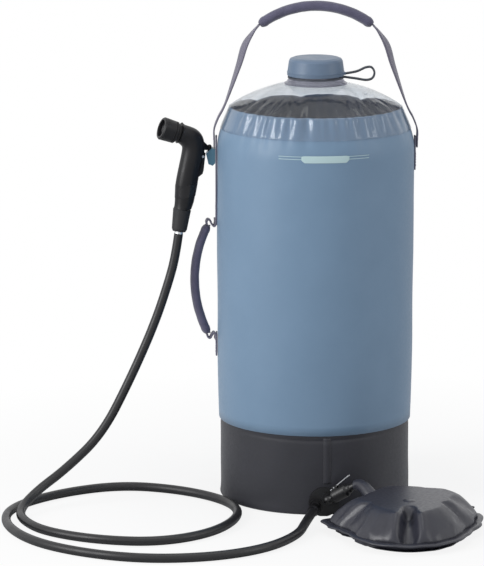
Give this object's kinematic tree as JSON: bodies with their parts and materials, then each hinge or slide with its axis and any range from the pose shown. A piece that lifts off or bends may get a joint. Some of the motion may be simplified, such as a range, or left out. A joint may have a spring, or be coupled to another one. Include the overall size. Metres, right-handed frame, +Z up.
{
  "type": "portable pressure shower",
  "caption": "Soft-sided portable pressure shower: welded water tank with carry strap, screw filler cap, foot pump and hose with hand nozzle.",
  "frame": {"origin": "centre of the tank's foot on the ground", "axes": "+Z up, -Y the front with the ports and the pump, -X the side with the nozzle and side handle"},
  "size_m": [0.5818, 0.4579, 0.6114],
  "materials": {
    "tank_fabric": "satin coated polyester",
    "boot_fabric": "matt coated polyester",
    "clear_film": "clear TPU film",
    "cap_plastic": "moulded",
    "tether_rubber": "moulded",
    "webbing": "woven nylon webbing",
    "grip_fabric": "sewn sleeve",
    "clip_plastic": "moulded",
    "nozzle_plastic": "moulded",
    "fitting_plastic": "moulded",
    "seal_rubber": "moulded",
    "spring_steel": "stamped",
    "ferrule_metal": "turned",
    "pump_fabric": "coated polyester",
    "foam": "open-cell foam",
    "hose_rubber": "extruded"
  },
  "bodies": {
    "tank": {"tank_wall": "tank_fabric", "tank_floor": "tank_fabric", "base_boot": "boot_fabric", "boot_seam": "boot_fabric", "tank_dome": "clear_film", "filler_neck": "clear_film", "tether_collar": "tether_rubber", "tether_strap": "tether_rubber", "strap_anchor_left": "webbing", "strap_anchor_right": "webbing", "side_webbing_upper": "webbing", "side_webbing_lower": "webbing", "holster_clip": "clip_plastic", "port_patch": "fitting_plastic", "outlet_fitting": "fitting_plastic", "outlet_ferrule": "ferrule_metal", "outlet_nut": "fitting_plastic", "outlet_strainer": "fitting_plastic", "air_inlet": "fitting_plastic", "inlet_nut": "fitting_plastic", "pump_plug": "fitting_plastic", "check_flap": "seal_rubber", "lever_ears": "fitting_plastic", "lever_pin": "spring_steel", "pump_neck": "pump_fabric", "pump_base_panel": "pump_fabric", "pump_gusset": "pump_fabric", "pump_foam": "foam", "pump_tab": "pump_fabric", "hose": "hose_rubber"},
    "cap_carrier": {"cap_tether_ring": "cap_plastic"},
    "cap": {"filler_cap": "cap_plastic", "cap_gasket": "seal_rubber"},
    "carry_strap": {"carry_webbing": "webbing", "carry_grip": "grip_fabric"},
    "side_handle": {"side_grip": "grip_fabric", "side_core": "webbing"},
    "nozzle": {"nozzle_body": "nozzle_plastic", "nozzle_band": "nozzle_plastic", "trigger_pin": "spring_steel", "nozzle_collar": "nozzle_plastic", "nozzle_ferrule": "ferrule_metal", "valve_spring": "spring_steel"},
    "trigger": {"trigger": "nozzle_plastic"},
    "valve": {"valve_stem": "nozzle_plastic", "valve_seal": "seal_rubber"},
    "rose": {"spray_ring": "nozzle_plastic", "spray_face": "nozzle_plastic"},
    "pump_plate": {"pump_top_panel": "pump_fabric", "intake_valve": "seal_rubber"},
    "lever": {"release_lever": "spring_steel"}
  },
  "joints": [
    {"name": "cap_rise", "type": "slide", "parent": "tank", "child": "cap_carrier", "axis": [0, 0, 1], "range_m": [0, 0.0151]},
    {"name": "cap_turn", "type": "hinge", "parent": "cap_carrier", "child": "cap", "pos_m": [0, 0, 0.53], "axis": [0, 0, 1], "range_deg": [0, 900]},
    {"name": "carry_strap_swing", "type": "hinge", "parent": "tank", "child": "carry_strap", "pos_m": [0, 0, 0.441], "axis": [1, 0, 0], "range_deg": [-65, 65]},
    {"name": "side_handle_swing", "type": "hinge", "parent": "tank", "child": "side_handle", "pos_m": [-0.131, 0, 0.268], "axis": [0, 0, 1], "range_deg": [-80, 80]},
    {"name": "nozzle_lift", "type": "slide", "parent": "tank", "child": "nozzle", "axis": [0, 0, 1], "range_m": [0, 0.035]},
    {"name": "trigger_squeeze", "type": "hinge", "parent": "nozzle", "child": "trigger", "pos_m": [-0.13908, -0.00328, 0.4215], "axis": [-0.309, 0.9511, 0], "range_deg": [0, 8], "stiffness_Nm_per_rad": 0.6, "springref_deg": -4.58},
    {"name": "valve_push", "type": "slide", "parent": "nozzle", "child": "valve", "axis": [-0.9511, -0.309, 0], "range_m": [0, 0.0022]},
    {"name": "spray_ring_turn", "type": "hinge", "parent": "nozzle", "child": "rose", "pos_m": [-0.18721, -0.01891, 0.4578], "axis": [-0.8965, -0.2913, 0.3338], "range_deg": [0, 90]},
    {"name": "pump_press", "type": "slide", "parent": "tank", "child": "pump_plate", "axis": [0, 0, -1], "range_m": [0, 0.022], "stiffness_N_per_m": 1500, "springref_m": -0.002, "deforming": ["pump_gusset", "pump_foam"]},
    {"name": "lever_press", "type": "hinge", "parent": "tank", "child": "lever", "pos_m": [0.0225, -0.12908, 0.03873], "axis": [0.3896, 0.921, 0], "range_deg": [0, 9], "stiffness_Nm_per_rad": 0.05, "springref_deg": -4.58}
  ],
  "couplings": [
    {"joint": "cap_rise", "follows": "cap_turn", "m_per_rad": 0.00095493},
    {"joint": "valve_push", "follows": "trigger_squeeze", "m_per_rad": 0.0145}
  ]
}
